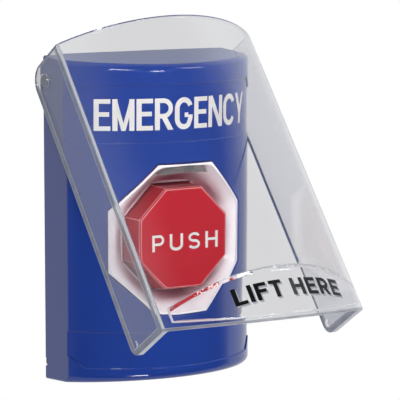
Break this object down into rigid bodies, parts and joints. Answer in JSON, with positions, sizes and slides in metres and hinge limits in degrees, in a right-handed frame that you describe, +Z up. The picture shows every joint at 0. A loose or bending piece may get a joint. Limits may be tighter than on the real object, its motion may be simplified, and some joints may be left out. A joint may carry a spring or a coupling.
{
  "type": "panic button",
  "caption": "Wall-mounted panic button: blue moulded housing with a dished white octagonal surround, a sprung red push button and a clear lift-up cover.",
  "frame": {"origin": "on the wall plane, midway between the two screw slots, which is the middle of the housing's width and height", "axes": "+Z up, the wall is the plane Y = 0 and lies on the +Y side, the button faces -Y, +X is to the right of a person facing the button"},
  "size_m": [0.0878, 0.1186, 0.1427],
  "materials": {
    "blue_housing": "gloss",
    "white_surround": "gloss",
    "red_button": "gloss",
    "white_nylon": "satin",
    "black_contact_plastic": "satin",
    "light_pipe_clear": "gloss",
    "cover_clear": "gloss",
    "grey_pin": "satin",
    "foam_seal": "matt",
    "zinc_steel": "satin",
    "spring_steel": "satin",
    "terminal_brass": "satin",
    "circuit_board_green": "satin",
    "lamp_white": "gloss"
  },
  "bodies": {
    "station": {"wall_seal": "foam_seal", "mounting_plate": "zinc_steel", "front_housing": "blue_housing", "button_surround": "white_surround", "return_spring": "spring_steel", "contact_carrier": "zinc_steel", "contact_block": "black_contact_plastic", "light_pipe": "light_pipe_clear", "lock_screws": "zinc_steel", "terminal_clamps": "terminal_brass", "terminal_screws": "terminal_brass", "lamp_board": "circuit_board_green", "board_lamps": "lamp_white", "board_screws": "zinc_steel", "surround_screws": "zinc_steel", "carrier_screws": "zinc_steel", "block_screws": "zinc_steel", "hinge_pin_left": "grey_pin", "pin_clip_left": "zinc_steel", "hinge_pin_right": "grey_pin", "pin_clip_right": "zinc_steel"},
    "button": {"push_button": "red_button", "button_rod": "white_nylon", "contact_follower": "white_nylon"},
    "cover": {"lift_cover": "cover_clear"}
  },
  "joints": [
    {"name": "cover_hinge", "type": "hinge", "parent": "station", "child": "cover", "pos_m": [0, -0.0075, 0.0538], "axis": [-1, 0, 0], "range_deg": [-38.5, 51.5]},
    {"name": "button_press", "type": "slide", "parent": "station", "child": "button", "axis": [0, 1, 0], "range_m": [0, 0.004], "stiffness_N_per_m": 600, "deforming": ["return_spring"]}
  ]
}
